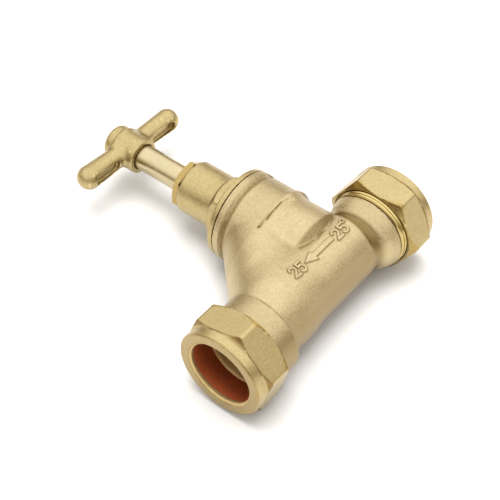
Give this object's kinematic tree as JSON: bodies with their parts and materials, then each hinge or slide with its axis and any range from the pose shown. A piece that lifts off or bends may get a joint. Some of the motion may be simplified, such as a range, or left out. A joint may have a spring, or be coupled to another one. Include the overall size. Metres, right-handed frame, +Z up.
{
  "type": "straight stop valve",
  "caption": "Straight brass stop valve with two compression ends in line, a screw-down bonnet at right angles to them and a T-shaped crutch head that lifts the seat washer.",
  "frame": {"origin": "on the surface the valve lies on, under the middle of its bounding box", "axes": "+X is the flow direction along the pipe axis, towards the outlet nut; +Y is away from the crutch head, so the bonnet points to -Y; +Z is up with the valve lying on its side"},
  "size_m": [0.115, 0.1398, 0.0422],
  "materials": {
    "cast_brass": "fine sandblasted casting, satin",
    "machined_brass": "forged and machined, satin with bright edges",
    "bright_brass": "machined, glossy",
    "polished_brass": "drawn and polished bar",
    "copper": "bare copper, glossy",
    "red_fibre": "pressed fibre sheet",
    "graphite_packing": "braided graphite packing",
    "black_rubber": "moulded rubber",
    "zinc_plated_steel": "zinc plated"
  },
  "bodies": {
    "valve": {"valve_body": "cast_brass", "bonnet": "cast_brass", "bonnet_washer": "red_fibre", "packing_base_washer": "machined_brass", "packing_ring_1": "graphite_packing", "packing_ring_2": "graphite_packing", "packing_ring_3": "graphite_packing"},
    "jumper": {"jumper": "machined_brass", "jumper_washer": "black_rubber", "jumper_nut": "machined_brass"},
    "spindle": {"spindle": "polished_brass", "crutch_head": "cast_brass", "crutch_screw": "zinc_plated_steel"},
    "gland_follower": {"gland_follower": "machined_brass"},
    "gland_nut": {"gland_nut": "bright_brass"},
    "outlet_olive": {"outlet_olive": "copper"},
    "outlet_nut": {"outlet_nut": "machined_brass"},
    "inlet_olive": {"inlet_olive": "copper"},
    "inlet_nut": {"inlet_nut": "machined_brass"}
  },
  "joints": [
    {"name": "jumper_lift", "type": "slide", "parent": "valve", "child": "jumper", "axis": [0, -1, 0], "range_m": [-0.00601, 0.00251]},
    {"name": "handle_turn", "type": "hinge", "parent": "jumper", "child": "spindle", "pos_m": [-0.0125, -0.03193, 0.0211], "axis": [0, -1, 0], "range_deg": [-864, 360]},
    {"name": "gland_follower_slide", "type": "slide", "parent": "valve", "child": "gland_follower", "axis": [0, -1, 0], "range_m": [0, 0.00191]},
    {"name": "gland_nut_turn", "type": "hinge", "parent": "gland_follower", "child": "gland_nut", "pos_m": [-0.0125, -0.02393, 0.0211], "axis": [0, -1, 0], "range_deg": [0, 540]},
    {"name": "outlet_olive_slide", "type": "slide", "parent": "valve", "child": "outlet_olive", "axis": [1, 0, 0], "range_m": [0, 0.0081]},
    {"name": "outlet_nut_turn", "type": "hinge", "parent": "outlet_olive", "child": "outlet_nut", "pos_m": [0.049, 0.04807, 0.0211], "axis": [1, 0, 0], "range_deg": [0, 1260]},
    {"name": "inlet_olive_slide", "type": "slide", "parent": "valve", "child": "inlet_olive", "axis": [-1, 0, 0], "range_m": [0, 0.0081]},
    {"name": "inlet_nut_turn", "type": "hinge", "parent": "inlet_olive", "child": "inlet_nut", "pos_m": [-0.049, 0.04807, 0.0211], "axis": [-1, 0, 0], "range_deg": [0, 1260]}
  ],
  "couplings": [
    {"joint": "jumper_lift", "follows": "handle_turn", "m_per_rad": 0.00039789},
    {"joint": "gland_follower_slide", "follows": "gland_nut_turn", "m_per_rad": 0.00020213},
    {"joint": "outlet_olive_slide", "follows": "outlet_nut_turn", "m_per_rad": 0.00036749},
    {"joint": "inlet_olive_slide", "follows": "inlet_nut_turn", "m_per_rad": 0.00036749}
  ]
}
